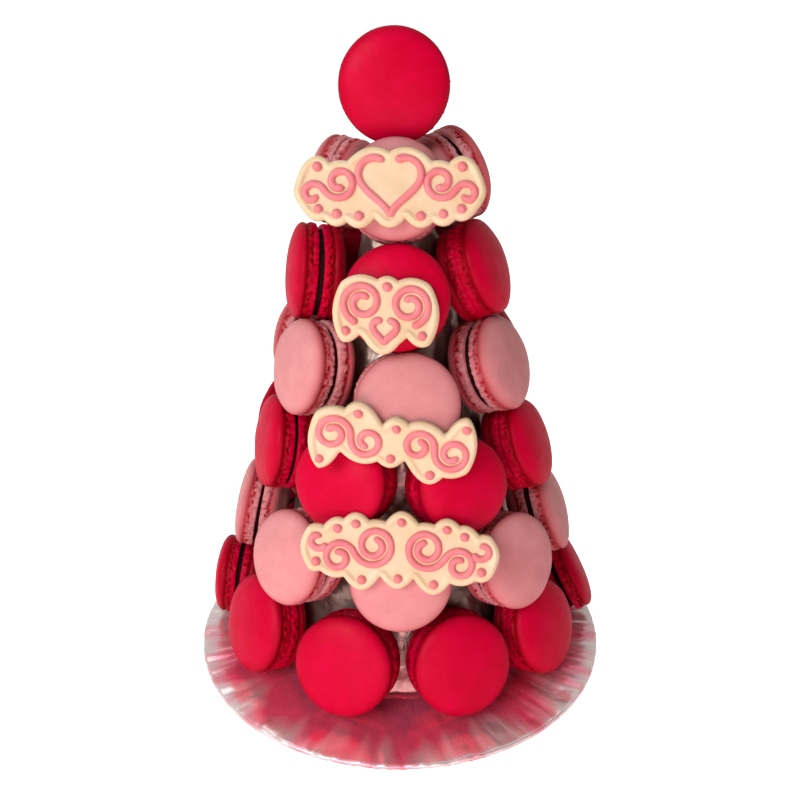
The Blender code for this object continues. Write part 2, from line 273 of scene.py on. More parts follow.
def noise_at(tree, where, size, detail=2.0):
    inputs = {"Vector": where, "Scale": 1 / size, "Detail": detail}
    return add(tree, "TexNoise", inputs).outputs["Fac"]


def ranged(tree, value, span, to=(0.0, 1.0)):
    """The value, taken from this span to another and kept inside it."""
    inputs = {"Value": value, "From Min": span[0], "From Max": span[1], "To Min": to[0], "To Max": to[1]}
    return add(tree, "MapRange", inputs).outputs["Result"]


def mixed(tree, share, first, second):
    made = add(tree, "Mix", data_type="RGBA")
    tree.links.new(share, made.inputs[0])
    for socket, value in ((made.inputs[6], first), (made.inputs[7], second)):
        if isinstance(value, bpy.types.NodeSocket):
            tree.links.new(value, socket)
        else:
            socket.default_value = (*value, 1.0)
    return made.outputs[2]


def bumped(tree, height, distance, strength=1.0, under=None):
    inputs = {"Height": height, "Distance": distance, "Strength": strength}
    if under is not None:
        inputs["Normal"] = under
    return add(tree, "Bump", inputs).outputs["Normal"]


def shell_material(name, base, pale, deep):
    """A macaron's baked skin: matt, faintly mottled, with a fine grain and a deeper colour painted in as
    shade on the dome's shoulder, in the crease, in its pits and in the hollows between ruffles.
    """
    material, tree, shader = new_material(
        name, Specular_IOR_Level=0.07, Subsurface_Weight=0.12, Subsurface_Scale=0.0015,
        Subsurface_Radius=(1.0, 0.25, 0.2),
    )
    where = object_coordinates(tree)
    mottle = ranged(tree, noise_at(tree, where, 0.009, 4.0), (0.36, 0.68))
    specks = ranged(tree, noise_at(tree, where, 0.0009), (0.66, 0.74), (0.0, 0.3))
    painted_shade = add(tree, "Attribute", attribute_name="painted_shade").outputs["Fac"]
    colour = mixed(tree, mottle, base, pale)
    colour = mixed(tree, specks, colour, deep)
    # painted shade: towards the deeper colour on the shoulder, in the crease, in the pits and in the hollows
    colour = mixed(tree, ranged(tree, painted_shade, (0.02, 0.7)), colour, deep)
    chance = add(tree, "ObjectInfo").outputs["Random"]
    brightness = ranged(tree, chance, (0.0, 1.0), (0.95, 1.04))
    tone = add(tree, "HueSaturation", {"Color": colour, "Value": brightness})
    tree.links.new(tone.outputs["Color"], shader.inputs["Base Color"])
    rough = ranged(tree, noise_at(tree, where, 0.004, 3.0), (0.3, 0.7), (0.36, 0.46))
    tree.links.new(rough, shader.inputs["Roughness"])
    grain = bumped(tree, noise_at(tree, where, 0.0005, 3.0), 0.00006, 0.5)
    skin = bumped(tree, noise_at(tree, where, 0.0032, 3.0), 0.00022, 0.5, grain)
    tree.links.new(skin, shader.inputs["Normal"])
    return material


def filling_material():
    material, tree, shader = new_material("dark_filling", Roughness=0.75, Specular_IOR_Level=0.1)
    where = object_coordinates(tree)
    streaks = ranged(tree, noise_at(tree, where, 0.003), (0.35, 0.7))
    colour = mixed(tree, streaks, (0.010, 0.001, 0.002), (0.025, 0.003, 0.004))
    tree.links.new(colour, shader.inputs["Base Color"])
    tree.links.new(bumped(tree, noise_at(tree, where, 0.0012), 0.0002), shader.inputs["Normal"])
    return material


def icing_material(name, base, pale, deep, rough):
    """Set sugar icing: smooth, a little glossy, with slow changes of colour and tiny air holes painted in as
    darker spots of shade.
    """
    material, tree, shader = new_material(name, Subsurface_Weight=0.12, Subsurface_Scale=0.0015)
    where = object_coordinates(tree)
    slow = ranged(tree, noise_at(tree, where, 0.011, 3.0), (0.35, 0.68))
    # painted shade: the tiny air holes as darker spots
    hole_shade = ranged(tree, noise_at(tree, where, 0.0008, 1.0), (0.70, 0.78), (0.0, 0.5))
    colour = mixed(tree, hole_shade, mixed(tree, slow, base, pale), deep)
    tree.links.new(colour, shader.inputs["Base Color"])
    spread = ranged(tree, noise_at(tree, where, 0.005), (0.3, 0.7), (rough - 0.05, rough + 0.07))
    tree.links.new(spread, shader.inputs["Roughness"])
    fine = bumped(tree, noise_at(tree, where, 0.0006), 0.00005, 0.4)
    soft = bumped(tree, noise_at(tree, where, 0.0045), 0.0004, 0.5, fine)
    tree.links.new(soft, shader.inputs["Normal"])
    return material


def foil_material(name, base, deep, rough, metallic, creases, reflection_colour=None):
    """Metal foil: duller patches, creases from this function over finer crinkles, and perhaps a painted
    reflection.
    """
    material, tree, shader = new_material(name, Metallic=metallic)
    where = object_coordinates(tree)
    dull = ranged(tree, noise_at(tree, where, 0.012, 4.0), (0.35, 0.7))
    colour = mixed(tree, dull, base, deep)
    if reflection_colour:
        # painted reflection: the macarons' red mixed into the foil's own colour
        colour = mixed(tree, painted_reflection(tree, where), colour, reflection_colour)
    tree.links.new(colour, shader.inputs["Base Color"])
    spread = ranged(tree, noise_at(tree, where, 0.006, 3.0), (0.3, 0.7), (rough - 0.04, rough + 0.08))
    tree.links.new(spread, shader.inputs["Roughness"])
    fine = bumped(tree, noise_at(tree, where, 0.003), 0.0001, 0.3)
    tree.links.new(creases(tree, where, fine), shader.inputs["Normal"])
    return material


def flattened(tree, where):
    return vector_math(tree, "MULTIPLY", {0: where, 1: (1.0, 1.0, 0.0)})


def radial_noise(tree, flat, turns, outwards):
    """Noise drawn out into streaks from the board's middle: turns sets how narrow, outwards how short."""
    way = vector_math(tree, "NORMALIZE", {0: flat})
    round_it = vector_math(tree, "SCALE", {0: way, "Scale": turns})
    out = vector_math(tree, "SCALE", {0: flat, "Scale": outwards})
    return noise_at(tree, vector_math(tree, "ADD", {0: round_it, 1: out}), 1.0, 1.0)


def painted_reflection(tree, where):
    """How much of the lowest macarons' red reflection is painted on the board around them, in streaks."""
    flat = flattened(tree, where)
    away = add(tree, "VectorMath", {0: flat, 1: PAINTED_REFLECTION_MIDDLE}, operation="DISTANCE").outputs["Value"]
    uneven = ranged(tree, radial_noise(tree, flat, *PAINTED_REFLECTION_STREAKS), (0.3, 0.7), (-PAINTED_REFLECTION_FRAY, PAINTED_REFLECTION_FRAY))
    reach = add(tree, "Math", {0: away, 1: uneven}, operation="ADD").outputs["Value"]
    return ranged(tree, reach, PAINTED_REFLECTION_REACH, (PAINTED_REFLECTION_SHARE, 0.0))


def crumpled(tree, where, under):
    """Facets between sharp creases."""
    bend = add(tree, "TexNoise", {"Vector": where, "Scale": 1 / (2 * FACET), "Detail": 2.0})
    pull = vector_math(tree, "SCALE", {0: bend.outputs["Color"], "Scale": FACET})
    moved = vector_math(tree, "ADD", {0: where, 1: pull})
    cells = add(tree, "TexVoronoi", {"Vector": moved, "Scale": 1 / FACET}, feature="DISTANCE_TO_EDGE")
    folds = ranged(tree, cells.outputs["Distance"], (0.0, 0.35))
    return bumped(tree, folds, FACET / 22, 0.6, under)


def streaked(tree, where, under):
    """Wrinkles that run out from the middle and grow towards the rim, in patches."""
    flat = flattened(tree, where)
    from_middle = add(tree, "VectorMath", {0: flat}, operation="LENGTH").outputs["Value"]
    outer = ranged(tree, from_middle, WRINKLE_REACH, (0.2, 0.8))
    patches = ranged(tree, noise_at(tree, where, WRINKLE_PATCH, 1.0), (0.40, 0.62), (0.3, 1.0))
    strength = add(tree, "Math", {0: outer, 1: patches}, operation="MULTIPLY").outputs["Value"]
    under = bumped(tree, noise_at(tree, where, BUCKLE, 1.0), BUCKLE_HEIGHT, 0.6, under)
    for turns, outwards, height in WRINKLES:
        streaks = radial_noise(tree, flat, turns, outwards)
        folded = add(tree, "Math", {0: streaks, 1: 0.5}, operation="SUBTRACT").outputs["Value"]
        ridges = add(tree, "Math", {0: folded}, operation="ABSOLUTE").outputs["Value"]
        under = bumped(tree, ridges, height, strength, under)
    return under


MATERIALS = {
    "crimson_shell": shell_material(
        "crimson_shell", base=(0.53, 0.0, 0.030), pale=(0.59, 0.0, 0.045), deep=(0.22, 0.0, 0.004)
    ),
    "pink_shell": shell_material(
        "pink_shell", base=(0.64, 0.295, 0.30), pale=(0.69, 0.335, 0.34), deep=(0.40, 0.02, 0.035)
    ),
    "filling": filling_material(),
    "cream_plaque": icing_material(
        "cream_plaque", base=(0.71, 0.64, 0.38), pale=(0.77, 0.71, 0.47), deep=(0.54, 0.38, 0.18), rough=0.42
    ),
    "pink_piping": icing_material(
        "pink_piping", base=(0.73, 0.22, 0.24), pale=(0.79, 0.28, 0.29), deep=(0.54, 0.08, 0.10), rough=0.40
    ),
    "board_foil": foil_material(
        "board_foil", base=(0.93, 0.91, 0.90), deep=(0.88, 0.86, 0.85), rough=0.24, metallic=0.58,
        # the red of the macarons' reflection, painted on the foil
        creases=streaked, reflection_colour=(1.0, 0.11, 0.26),
    ),
    "cone_foil": foil_material(
        # a dull brownish foil, its dark colour partly its own and partly painted shade of the gaps among the
        # macarons where it stands
        "cone_foil", base=(0.42, 0.35, 0.30), deep=(0.24, 0.19, 0.16), rough=0.36, metallic=0.85,
        creases=crumpled,
    ),
}


# Shared mesh code. A row is a closed line of points against the clock about the form's axis.


def add_piece(name, points, faces, slot, painted_shade=None):
    """A piece of the object as a smooth mesh, with the finish of its slot and, where given, the painted
    shade of each point.
    """
    mesh = bpy.data.meshes.new(name)
    mesh.from_pydata(points, [], faces)
    mesh.shade_smooth()
    if painted_shade is not None:
        # how much painted shade each point has
        attribute = mesh.attributes.new("painted_shade", "FLOAT", "POINT")
        attribute.data.foreach_set("value", painted_shade)
    piece = bpy.data.objects.new(name, mesh)
    bpy.context.scene.collection.objects.link(piece)
    mesh.materials.append(MATERIALS[slot])
    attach(piece, BODY)
    return piece


def turned(faces):
    return [face[::-1] for face in faces]


def band(first, second, sides):
    """Quads between two rows of the same number of points."""
    faces = []
    for side in range(sides):
        after = (side + 1) % sides
        faces.append((first + side, second + side, second + after, first + after))
    return faces


def fan(pole, first, sides):
    """Triangles between a pole and a row."""
    return [(pole, first + side, first + (side + 1) % sides) for side in range(sides)]


def widening_band(first, second, sides, times):
    """Faces from a row to one with this many times as many points."""
    faces = []
    middle = times // 2
    for side in range(sides):
        a, b = first + side, first + (side + 1) % sides
        line = [second + (times * side + step) % (times * sides) for step in range(times + 1)]
        faces += [(a, line[step], line[step + 1]) for step in range(middle)]
        faces.append((a, line[middle], b))
        faces += [(b, line[step], line[step + 1]) for step in range(middle, times)]
    return faces


def faces_with_poles(rows, sides):
    """Faces of a closed form: a pole, rows of points from the top down and another pole."""
    faces = fan(0, 1, sides)
    for row in range(rows - 1):
        faces += band(1 + row * sides, 1 + (row + 1) * sides, sides)
    last = 1 + (rows - 1) * sides
    return faces + turned(fan(last + sides, last, sides))


def faces_with_caps(rows, sides):
    """Faces of a tube: rows of points from the top down, with a flat cap on the first and on the last."""
    faces = [tuple(range(sides))]
    for row in range(rows - 1):
        faces += band(row * sides, (row + 1) * sides, sides)
    last = (rows - 1) * sides
    return faces + [tuple(range(last, last + sides))[::-1]]


def joined(parts):
    """Several (points, faces) as one."""
    points, faces = [], []
    for some_points, some_faces in parts:
        shift = len(points)
        points += some_points
        faces += [tuple(index + shift for index in face) for face in some_faces]
    return points, faces


def smooth_step(low, high, value):
    share = min(1.0, max(0.0, (value - low) / (high - low)))
    return share * share * (3 - 2 * share)


def bell(value, middle, width):
    return math.exp(-(((value - middle) / width) ** 2))


def way_round(side, sides):
    """The direction of a row's point, from +X."""
    angle = 2 * math.pi * side / sides
    return Vector((math.cos(angle), math.sin(angle), 0))


def from_front(angle):
    """The direction at this angle from the front towards +X."""
    return Vector((math.sin(angle), -math.cos(angle), 0))


# The macarons.


Seat = namedtuple("Seat", "radius half place")


def seat_of(node):
    """How a macaron's solid sits: its radius, half its thickness and the matrix that places it."""
    corners = np.array([vertex.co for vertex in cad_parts[node].data.vertices])
    corners = np.unique(corners.round(6), axis=0)  # each corner once, also where faces don't share it
    centre = corners.mean(axis=0)
    axes = np.linalg.svd(corners - centre, full_matrices=False)[2]
    facing = Vector(axes[2])
    low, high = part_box("foil_cone")
    outwards = Vector(centre) - (low + high) / 2
    if facing.dot(Vector((outwards.x, outwards.y, 0))) < 0:
        facing = -facing
    along = (corners - centre) @ np.array(facing)
    across = np.linalg.norm(corners - centre - np.outer(along, facing), axis=1)
    right = Vector((0, 0, 1)).cross(facing).normalized()
    turn = Matrix((right, facing.cross(right), facing)).transposed().to_4x4()
    return Seat(across.max(), along.max(), Matrix.Translation(Vector(centre)) @ turn)


def shell_rows(half, seam, power):
    """Rows of a shell's profile, from beside its top to beside its middle: their share of the radius, height
    and down, which is below 0 on the dome."""
    widest = seam + RIM_HEIGHT
    rows = []
    for row in range(1, DOME_ROWS + 1):
        angle = math.pi / 2 * (1 - row / DOME_ROWS)
        rise = (half - widest) * math.sin(angle) ** (2 / power)
        rows.append((math.cos(angle) ** (2 / power), widest + rise, -rise / RIM_HEIGHT))
    for row in range(1, RIM_ROWS + 1):
        down = row / RIM_ROWS
        share = 1 - CREASE * bell(down, CREASE_AT, CREASE_WIDTH) - TAPER * down * down
        rows.append((share, widest - (RIM_HEIGHT - LIP) * down, down))
    for row in range(1, LIP_ROWS + 1):
        angle = math.pi / 2 * row / LIP_ROWS
        share = 1 - TAPER - LIP_TURN * (1 - math.cos(angle))
        rows.append((share, seam + LIP * (1 - math.sin(angle)), 1.0))
    return rows


def shoulder_and_crease_shade(down):
    """How much painted shade, in the deeper colour, a row shows: from the dome's shoulder on, and most in
    the crease.
    """
    above = smooth_step(-SHOULDER, CREASE_AT, down)
    below = smooth_step(CREASE_END, CREASE_AT, down)
    return CREASE_PAINTED_SHADE * above * (FOOT_PAINTED_SHADE + (1 - FOOT_PAINTED_SHADE) * below)


def crust(point, down, seed):
    """How far the rim's crust stands out at a point, and how much painted shade it gets from lying deep in a
    pit or in a hollow between ruffles.
    """
    ruffle_at = (point + seed) / RUFFLE_SPACING
    ruffle_at.z *= RUFFLE_STRETCH
    ruffle = noise.noise(ruffle_at) + 0.5 * noise.noise(ruffle_at * RUFFLE_OCTAVE)
    bent = point + seed + PIT_BEND * noise.noise_vector((point + seed) / PIT_SPACING)
    distances, middles = noise.voronoi(bent / PIT_SPACING)
    pit = 0.0
    if noise.cell(middles[0] * CELL_STRIDE) < PIT_SHARE:
        pit = smooth_step(*PIT_EDGE, distances[0])
    rough = smooth_step(*CRUST_START, down)
    pit *= rough * bell(down, PIT_AT, PIT_BAND)
    return rough * RUFFLE * ruffle - PIT_DEPTH * pit, pit + HOLLOW_PAINTED_SHADE * rough * max(0.0, -ruffle)


def make_shell(radius, half, seam, chance, seed):
    """One shell about +Z, its flat side at the gap: its points, faces and how much painted shade each point
    has.
    """
    points = [Vector((0, 0, half))]
    painted_shade = [0.0]
    starts = []
    for share, height, down in shell_rows(half, seam, chance.uniform(*DOME_POWER)):
        sides = RIM_SIDES if down > 0 else DOME_SIDES
        # painted shade of the dome's shoulder, the crease and the foot
        tone = shoulder_and_crease_shade(down)
        starts.append((len(points), sides))
        for side in range(sides):
            way = way_round(side, sides)
            slow, quick = [noise.noise(way * turns + seed) for turns in WOBBLE_TURNS]
            point = way * radius * share * (1 + WOBBLE * (slow + SECOND_WOBBLE * quick))
            point.z = height
            # painted shade from the pits and the hollows between ruffles
            depth = 0.0
            if down > 0:
                stands, depth = crust(point, down, seed)
                point += way * stands
            else:
                point.z += DOME_WAVE * share * noise.noise(point / DOME_WAVE_SIZE + seed)
            points.append(point)
            painted_shade.append(tone + depth)
    faces = fan(0, 1, DOME_SIDES)
    for (first, sides), (second, next_sides) in zip(starts, starts[1:]):
        if sides == next_sides:
            faces += band(first, second, sides)
        else:
            faces += widening_band(first, second, sides, RIM_TIMES)
    last, sides = starts[-1]
    faces += turned(fan(len(points), last, sides))
    points.append(Vector((0, 0, seam)))
    painted_shade.append(0.0)
    return points, faces, painted_shade


def make_filling(radius, seam, seed):
    """The filling between the shells, a little uneven at its edge."""
    reach = seam + FILLING_SINK
    profile = [(reach, 1.0), (seam, 1.0), (0.0, FILLING_WAIST), (-seam, 1.0), (-reach, 1.0)]
    points = [Vector((0, 0, reach))]
    for height, share in profile:
        for side in range(DOME_SIDES):
            way = way_round(side, DOME_SIDES)
            swell = FILLING_SWELL * noise.noise(way * FILLING_SWELL_TURNS + seed)
            ragged = FILLING_RAGGED * noise.noise(way * FILLING_RAGGED_TURNS - seed)
            point = way * radius * FILLING_SHARE * share * (1 + swell + ragged)
            point.z = height
            points.append(point)
    points.append(Vector((0, 0, -reach)))
    return points, faces_with_poles(len(profile), DOME_SIDES)


def make_macaron(node, slot, number):
    """Two shells and the filling between them, in place of the macaron's solid."""
    chance = random.Random(number)
    seat = seat_of(node)
    seam = CLOSED_SEAM if node in CLOSED else SEAM
    parts = []
    # the painted shade of each point of both shells
    painted_shade = []
    for side in (0, math.pi):
        seed = Vector([chance.uniform(-SEED_RANGE, SEED_RANGE) for _ in range(3)])
        points, faces, pit_shades = make_shell(seat.radius, seat.half, seam, chance, seed)
        tilt = Matrix.Rotation(chance.uniform(-SKEW, SKEW), 4, "X")
        tilt @= Matrix.Rotation(chance.uniform(-SKEW, SKEW), 4, "Y")
        slip = Matrix.Translation((chance.uniform(-SLIP, SLIP), chance.uniform(-SLIP, SLIP), 0))
        spin = Matrix.Rotation(chance.uniform(0, 2 * math.pi), 4, "Z")
        place = seat.place @ Matrix.Rotation(side, 4, "X") @ slip @ tilt @ spin
        parts.append(([place @ point for point in points], faces))
        painted_shade += pit_shades
    points, faces = joined(parts)
    shells = add_piece(f"{node}_shells", points, faces, slot, painted_shade)
    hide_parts(node)
    points, faces = make_filling(seat.radius, seam, Vector((number * FILLING_SEED_STEP, 0, 0)))
    filling = add_piece(f"{node}_filling", [seat.place @ point for point in points], faces, "filling")
    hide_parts(node)


def make_macarons():
    nodes = sorted(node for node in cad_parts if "macaron" in node)
    for number, node in enumerate(nodes):
        slot = "pink_shell" if node.startswith(PINK_RINGS) else "crimson_shell"
        make_macaron(node, slot, number)


# The stand.


def board_rows(radius, low, high):
    """Rows of the board's profile, from the top down: their radius, height and whether the foil waves."""
    rows = [(radius * share, high, True) for share in np.linspace(*BOARD_TOP, BOARD_TOP_ROWS)]
    for step in range(1, BOARD_EDGE_ROWS + 1):
        angle = math.pi / 2 * step / BOARD_EDGE_ROWS
        inwards, down = BOARD_EDGE * (1 - math.sin(angle)), BOARD_EDGE * (1 - math.cos(angle))
        rows.append((radius - inwards, high - down, True))
    rows.append((radius, low + BOARD_EDGE, True))
    for step in range(1, BOARD_UNDER_EDGE_ROWS + 1):
        angle = math.pi / 2 * step / BOARD_UNDER_EDGE_ROWS
        inwards, up = BOARD_EDGE * (1 - math.cos(angle)), BOARD_EDGE * (1 - math.sin(angle))
        rows.append((radius - inwards, low + up, False))
    return rows + [(radius * share, low, False) for share in BOARD_UNDERSIDE]


def pleat_noise(point, way, pleats):
    return noise.noise(way * pleats.turns + point / pleats.length)


def board_wave(point, way, share):
    """How the foil departs from a flat board at a point: pleats near the edge and slow waves all over."""
    slow = noise.noise(point / WAVE_SIZE)
    wide = abs(pleat_noise(point, way, WIDE_PLEATS))
    fine = pleat_noise(point, way, FINE_PLEATS)
    out = smooth_step(*PLEAT_REACH, share)
    pleated = WIDE_PLEATS.depth * wide + FINE_PLEATS.depth * (1 + fine)
    drop = WAVE_DEPTH * (1 + slow) + out * pleated
    lump = 0.0
    for angle in LUMPS:
        away = (way - from_front(math.radians(angle))).length
        lump += bell(away, 0.0, LUMP_WIDTH) * bell(share, LUMP_AT, LUMP_REACH)
    bunched = lump * (LUMP_HEIGHT + LUMP_CRUMPLE * noise.noise(point / LUMP_CRUMPLE_SIZE))
    return Vector((0, 0, bunched - drop)) - way * (PLEAT_PULL * out * out * wide)


def make_board():
    """The board in its foil: pleats where it is drawn over the edge, and slow waves between them."""
    low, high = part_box("board")
    radius = (high.x - low.x) / 2
    rows = board_rows(radius, low.z, high.z)
    points = [Vector((0, 0, high.z - BOARD_DIP))]
    for reach, height, wavy in rows:
        for side in range(BOARD_SIDES):
            way = from_front(2 * math.pi * side / BOARD_SIDES)
            point = way * reach
            point.z = height
            if wavy:
                point += board_wave(point, way, reach / radius)
            points.append(point)
    points.append(Vector((0, 0, low.z)))
    faces = faces_with_poles(len(rows), BOARD_SIDES)
    board = add_piece("board_foil_wrap", points, faces, "board_foil")
    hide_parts("board")


def make_cone():
    """The cone in its foil, crumpled inwards from the solid's surface."""
    low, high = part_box("foil_cone")
    middle = (low + high) / 2
    foot = (high.x - low.x) / 2
    corners = [vertex.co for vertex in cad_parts["foil_cone"].data.vertices]
    tip = max((corner - middle).xy.length for corner in corners if corner.z > high.z - MM)
    points = []
    for row in range(CONE_ROWS, -1, -1):
        up = row / CONE_ROWS
        reach = foot + (tip - foot) * up
        centre = Vector((middle.x, middle.y, low.z + (high.z - low.z) * up))
        for side in range(CONE_SIDES):
            way = from_front(2 * math.pi * (side + 0.5 * (row % 2)) / CONE_SIDES)
            point = centre + way * reach
            coarse = abs(noise.noise(point / CRUMPLE_SIZE))
            fine = abs(noise.noise(point / FINE_CRUMPLE_SIZE))
            points.append(point - way * min(CRUMPLE * (coarse + 0.5 * fine), CRUMPLE_LIMIT * reach))
    faces = faces_with_caps(CONE_ROWS + 1, CONE_SIDES)
    cone = add_piece("cone_foil_wrap", points, faces, "cone_foil")
    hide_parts("foil_cone")


# The plaques' designs. A stroke is a line of piping and a dot is a drop of it: points in millimetres, across
# and up from the plaque's middle.


def turned_about(x, y, points, angle):
    cos, sin = math.cos(math.radians(angle)), math.sin(math.radians(angle))
    return [(x + across * cos - up * sin, y + across * sin + up * cos) for across, up in points]


def scroll(x, y, size, start, hand):
    """A scroll about (x, y) that winds in from its rim. hand is 1 against the clock and -1 with it."""
    turns = size * SCROLL_CLOSING / SCROLL_SPACING
    steps = round(turns * SCROLL_STEPS)
    points = []
    for step in range(steps + 1):
        share = step / steps
        angle = math.radians(start) + hand * 2 * math.pi * turns * share
        radius = size * (1 - SCROLL_CLOSING * share)
        points.append((x + radius * math.cos(angle), y + radius * math.sin(angle)))
    return points


def double_scroll(x, y, size, heading, next_size, hand):
    """Two scrolls that flow into each other, the next one's middle in this direction from the first's."""
    ((next_x, next_y),) = turned_about(x, y, [(size + next_size, 0)], heading)
    first = scroll(x, y, size, heading, hand)
    second = scroll(next_x, next_y, next_size, heading + 180, hand)
    return first[::-1] + second[1:]


def heart(x, y, size):
    """One open line that starts and ends just beside a heart's notch."""
    points = []
    for step in range(HEART_STEPS + 1):
        t = HEART_GAP + 2 * (math.pi - HEART_GAP) * step / HEART_STEPS
        across = math.sin(t) ** 3
        up = (13 * math.cos(t) - 5 * math.cos(2 * t) - 2 * math.cos(3 * t) - math.cos(4 * t)) / 16
        points.append((x + size * across, y + size * up))
    return points


def mirrored(points):
    return [(-x, y) for x, y in points]


def heart_and_scrolls():
    side = double_scroll(19.8, 1.8, 6.8, -24, 4.8, -1)
    dots = [(28.5, 7.8), (12.2, -11.4), (21.0, -10.6), (28.2, -8.6)]
    return [heart(0, 2, 12.5), side, mirrored(side)], dots + mirrored(dots)


def pair_of_scrolls():
    side = scroll(9.4, 3.4, 8.4, -80, 1)
    dots = [(15.4, -8.4)]
    return [heart(0, -7.0, 5.0), side, mirrored(side)], dots + mirrored(dots) + [(0, 10.2)]


def running_scrolls():
    first = double_scroll(-24.8, 1.2, 7.6, -6, 6.8, 1)
    second = double_scroll(10.5, 0.3, 6.8, -6, 7.6, 1)
    dots = [(0, -6.5), (-15.5, 11.0), (0.6, 6.5), (17.0, -11.5), (29.0, 10.0), (-29.0, -10.5)]
    return [first, second], dots


def long_scrolls():
    side = double_scroll(10.8, 2.6, 8.8, -22, 6.8, -1)
    end = scroll(34.4, 3.6, 4.4, 200, 1)
    dots = [(19.0, 11.2), (26.5, 8.8), (15.0, -12.0), (34.5, -5.5)]
    return [side, mirrored(side), end, mirrored(end)], dots + mirrored(dots) + [(0, 13.0), (0, -10.5)]


PLAQUES = {
    "plaque_1": Plaque(heart_and_scrolls, roll=0, lean=19),
    "plaque_2": Plaque(pair_of_scrolls, roll=-4, lean=19),
    "plaque_3": Plaque(running_scrolls, roll=-8, lean=4),
    "plaque_4": Plaque(long_scrolls, roll=-4, lean=21),
}


# The plaques' meshes.


def round_end(from_end, smallest):
    """How wide a round end is at this share of its length, and never narrower than the root of smallest."""
    return math.sqrt(max(smallest, 1 - (1 - from_end) ** 2))


def outline_at(across, points, left, right):
    """The plaque's highest and lowest point in a column, with a lobe about each of the outer points."""
    x, y = points[:, 0], points[:, 1]
    falls = (across - x) ** 2 / (2 * LOBE_RADIUS) - PLAQUE_MARGIN
    top, bottom = (y - falls).max(), (y + falls).min()
    from_end = min(across - left, right - across, PLAQUE_MARGIN) / PLAQUE_MARGIN
    middle = (top + bottom) / 2
    half = (top - bottom) / 2 * round_end(from_end, SMALLEST_TIP)
    return middle + half, middle - half


def distances_to(points, line):
    """How far each point is from a closed line of points."""
    steps = np.roll(line, -1, axis=0) - line
    lengths = np.maximum((steps**2).sum(axis=1), 1e-12)  # squared, and never nothing
    nearest = np.full(len(points), np.inf)
    for start, step, length in zip(line, steps, lengths):
        away = points - start
        share = np.clip(away @ step / length, 0, 1)
        nearest = np.minimum(nearest, np.hypot(*(away - np.outer(share, step)).T))
    return nearest


def column_places(left, right):
    """Where the plaque's columns of points are, closer together towards its ends."""
    columns = round((right - left) / COLUMN_WIDTH)
    places = []
    for column in range(columns + 1):
        even = 2 * column / columns - 1
        crowded = math.sin(math.pi * (column / columns - 0.5))
        places.append((left + right) / 2 + (right - left) / 2 * (CROWDING * crowded + (1 - CROWDING) * even))
    return places


def plate_grid(places, limits, rows):
    """Points column by column, closer together near the upper and the lower edge."""
    grid = []
    for across, (top, bottom) in zip(places, limits):
        for row in range(rows + 1):
            share = 0.5 + 0.5 * math.sin(math.pi * (row / rows - 0.5))
            grid.append((across, bottom + (top - bottom) * share))
    return np.array(grid)


def front_heights(front, inside, seed):
    """The heights of the plate's face at these points, which lie this far inside its edge."""
    near = np.clip(inside, 0, EDGE_ROUNDING)
    rounding = np.sqrt(EDGE_ROUNDING**2 - (EDGE_ROUNDING - near) ** 2) - EDGE_ROUNDING
    bead = BEAD_HEIGHT * np.exp(-(((inside - BEAD_INSET) / BEAD_WIDTH) ** 2))
    fall = np.clip((inside - BEAD_INSET) / BED_SLOPE, 0, 1)
    bed = -BED_DEPTH * fall * fall * (3 - 2 * fall)
    wave = np.array([noise.noise(Vector((x / BED_WAVE_SIZE, y / BED_WAVE_SIZE, seed))) for x, y in front])
    return PLAQUE_THICKNESS / 2 + rounding + bead + bed + BED_WAVE * wave * np.clip(inside, 0, 1)


def back_heights(inside):
    rounding = BACK_ROUNDING_DEPTH * np.clip(1 - inside / BACK_ROUNDING, 0, 1) ** 2
    return rounding - PLAQUE_THICKNESS / 2


def plate_faces(columns, front_rows, back_rows):
    """Quads over the front and the back, and a wall round the edge between them."""
    faces = []
    for column in range(columns):
        for row in range(front_rows):
            a = column * (front_rows + 1) + row
            b = a + front_rows + 1
            faces.append((a, b, b + 1, a + 1))
    shift = (columns + 1) * (front_rows + 1)
    for column in range(columns):
        for row in range(back_rows):
            a = shift + column * (back_rows + 1) + row
            b = a + back_rows + 1
            faces.append((a, a + 1, b + 1, b))
    for column in range(columns):
        front = column * (front_rows + 1)
        back = shift + column * (back_rows + 1)
        faces.append((front, back, back + back_rows + 1, front + front_rows + 1))
        front += front_rows
        back += back_rows
        faces.append((front, front + front_rows + 1, back + back_rows + 1, back))
    for column in (0, columns):
        front = [column * (front_rows + 1) + row for row in range(front_rows + 1)]
        back = [shift + column * (back_rows + 1) + row for row in range(back_rows + 1)]
        end = tuple(front + back[::-1])
        faces.append(end if column == 0 else end[::-1])
    return faces


def plaque_base(points, seed):
    """The cream plate: a rounded edge with a raised bead inside it, and a slightly sunken bed."""
    left, right = points[:, 0].min() - PLAQUE_MARGIN, points[:, 0].max() + PLAQUE_MARGIN
    places = column_places(left, right)
    limits = [outline_at(across, points, left, right) for across in places]
    upper = [(x, top) for x, (top, _) in zip(places, limits)]
    lower = [(x, bottom) for x, (_, bottom) in zip(places, limits)]
    edge = np.array(upper + lower[::-1])
    front = plate_grid(places, limits, PLAQUE_ROWS)
    back = plate_grid(places, limits, BACK_ROWS)
    heights = np.concatenate([
        front_heights(front, distances_to(front, edge), seed),
        back_heights(distances_to(back, edge)),
    ])
    made = np.column_stack([np.concatenate([front, back]), heights])
    return made.tolist(), plate_faces(len(places) - 1, PLAQUE_ROWS, BACK_ROWS)


